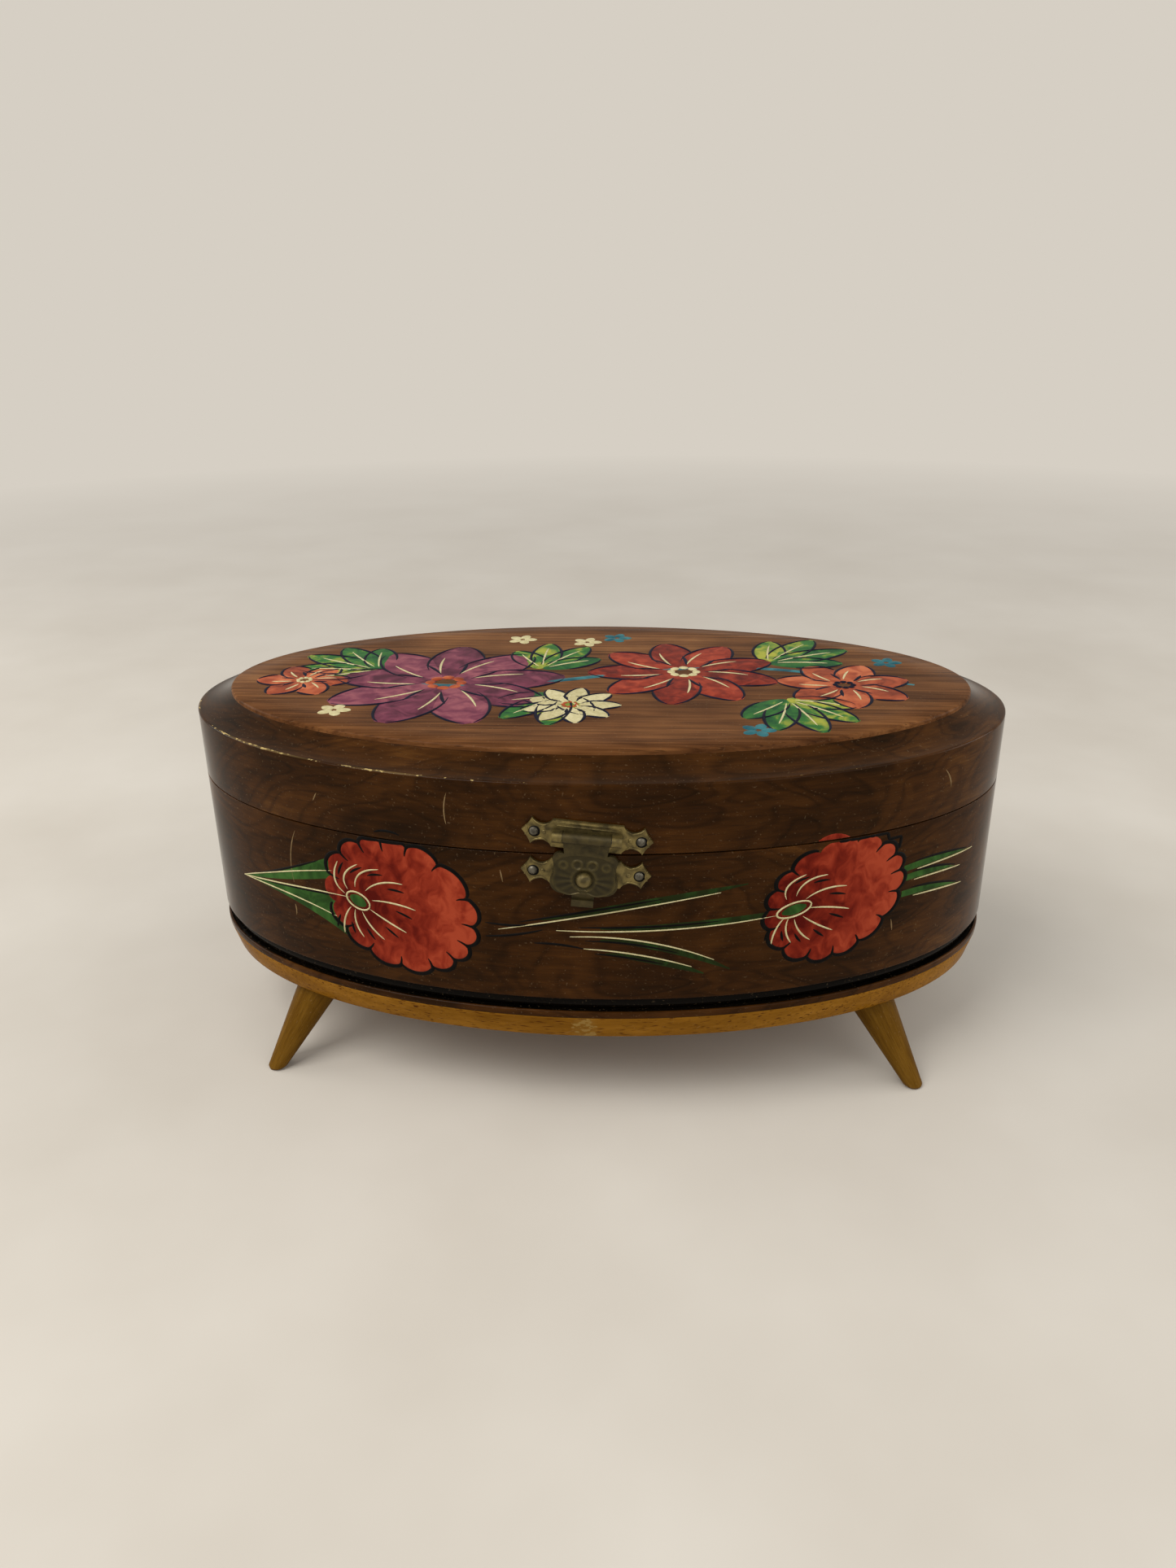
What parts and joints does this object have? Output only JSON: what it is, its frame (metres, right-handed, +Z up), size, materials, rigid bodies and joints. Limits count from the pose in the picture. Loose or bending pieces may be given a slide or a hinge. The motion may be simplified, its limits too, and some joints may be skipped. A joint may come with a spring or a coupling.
{
  "type": "musical jewellery box",
  "caption": "Oval veneered jewellery box on splayed legs, with a clasped hinged lid, lined trays and a sprung dancer who rises and turns to a wind-up musical movement.",
  "frame": {"origin": "middle of the oval, on the surface that the feet stand on", "axes": "+Z up, +X along the oval's length to the viewer's right, -Y towards the clasp at the front"},
  "size_m": [0.2, 0.1187, 0.0912],
  "materials": {
    "dark_veneer": "glossy lacquered dark walnut veneer",
    "top_board": "lacquered straight-grained board with painted garland",
    "black_lacquer": "glossy black lacquer",
    "beech": "varnished flecked beech",
    "leg_beech": "varnished turned beech",
    "inner_wood": "plain sanded board",
    "aged_brass": "dull stamped brass",
    "bright_brass": "bright turned brass",
    "steel": "plain bright steel",
    "bed_metal": "grey cast bed",
    "velvet": "crimson velvet",
    "satin": "padded satin",
    "mirror": "silvered glass",
    "painted_figure": "painted moulded plastic",
    "tulle": "stiff net"
  },
  "bodies": {
    "case": {"leg_front_left": "leg_beech", "leg_rear_left": "leg_beech", "leg_front_right": "leg_beech", "leg_rear_right": "leg_beech", "base_board": "beech", "clasp_body_plate": "aged_brass", "clasp_body_nails": "steel", "clasp_catch": "aged_brass", "hinge_body_leaf_left": "aged_brass", "hinge_pin_left": "steel", "hinge_body_leaf_right": "aged_brass", "hinge_pin_right": "steel", "hinge_body_nails": "steel", "body_wall": "dark_veneer", "groove_band": "black_lacquer", "partition_left": "inner_wood", "tray_liner_left": "velvet", "partition_right": "inner_wood", "tray_liner_right": "velvet", "stage_deck": "inner_wood", "stage_cover": "velvet", "wall_liner": "velvet", "bedplate": "bed_metal", "movement_screws": "steel", "barrel_bridge": "bed_metal", "cylinder_bracket": "bed_metal", "train_bracket": "bed_metal", "train_plate": "bed_metal", "comb_base": "bed_metal", "comb": "steel", "comb_screws": "steel", "stop_spring": "steel", "stage_bush": "bright_brass"},
    "lid": {"lid_rim": "dark_veneer", "lid_panel": "top_board", "lid_lining": "satin", "lid_mirror": "mirror", "hinge_lid_leaf_left": "aged_brass", "hinge_lid_leaf_right": "aged_brass", "hinge_lid_nails": "steel", "clasp_lid_plate": "aged_brass", "clasp_lid_nails": "steel", "hasp_pin": "steel"},
    "hasp": {"hasp": "aged_brass"},
    "key": {"winding_key": "steel", "winding_arbor": "steel"},
    "barrel": {"spring_barrel": "bright_brass", "barrel_cap": "bright_brass", "mainspring": "steel", "dancer_spindle": "bright_brass"},
    "cylinder": {"pinned_cylinder": "bright_brass", "cylinder_arbor": "steel", "cylinder_wheel": "bright_brass"},
    "idler": {"idler": "bright_brass"},
    "fly": {"governor_fly": "steel"},
    "spring": {"dancer_spring": "steel"},
    "dancer": {"dancer_figure": "painted_figure", "dancer_tutu": "tulle"},
    "stop": {"stop_rod": "steel"}
  },
  "joints": [
    {"name": "lid_hinge", "type": "hinge", "parent": "case", "child": "lid", "pos_m": [0, 0.0569, 0.0703], "axis": [-1, 0, 0], "range_deg": [0, 96]},
    {"name": "hasp_swing", "type": "hinge", "parent": "lid", "child": "hasp", "pos_m": [0.0012, -0.0574, 0.0751], "axis": [-0.9969, 0, 0.0785], "range_deg": [0, 150]},
    {"name": "key_turn", "type": "hinge", "parent": "case", "child": "key", "pos_m": [0, 0, 0.022], "axis": [0, 0, 1], "continuous": true},
    {"name": "barrel_turn", "type": "hinge", "parent": "case", "child": "barrel", "pos_m": [0, 0, 0.034], "axis": [0, 0, 1], "continuous": true},
    {"name": "cylinder_turn", "type": "hinge", "parent": "case", "child": "cylinder", "pos_m": [0, 0.0171, 0.0422], "axis": [0, 1, 0], "continuous": true},
    {"name": "idler_turn", "type": "hinge", "parent": "case", "child": "idler", "pos_m": [-0.00792, 0.0377, 0.0422], "axis": [0, 1, 0], "continuous": true},
    {"name": "fly_turn", "type": "hinge", "parent": "case", "child": "fly", "pos_m": [-0.01498, 0.0377, 0.0422], "axis": [0, 1, 0], "continuous": true},
    {"name": "dancer_fold", "type": "hinge", "parent": "case", "child": "spring", "pos_m": [0, 0, 0.06205], "axis": [0, -1, 0], "range_deg": [0, 72]},
    {"name": "dancer_spin", "type": "hinge", "parent": "spring", "child": "dancer", "pos_m": [0, 0, 0.06205], "axis": [0.9511, 0, 0.309], "continuous": true},
    {"name": "stop_slide", "type": "slide", "parent": "case", "child": "stop", "axis": [0, 0, 1], "range_m": [0, 0.005], "deforming": ["stop_spring"]}
  ],
  "couplings": [
    {"joint": "cylinder_turn", "follows": "barrel_turn", "ratio": 6},
    {"joint": "idler_turn", "follows": "barrel_turn", "ratio": -24},
    {"joint": "fly_turn", "follows": "barrel_turn", "ratio": 96},
    {"joint": "dancer_spin", "follows": "barrel_turn", "ratio": 1},
    {"joint": "dancer_fold", "follows": "lid_hinge", "ratio": 0.75},
    {"joint": "stop_slide", "follows": "lid_hinge", "m_per_rad": 0.0029841}
  ]
}
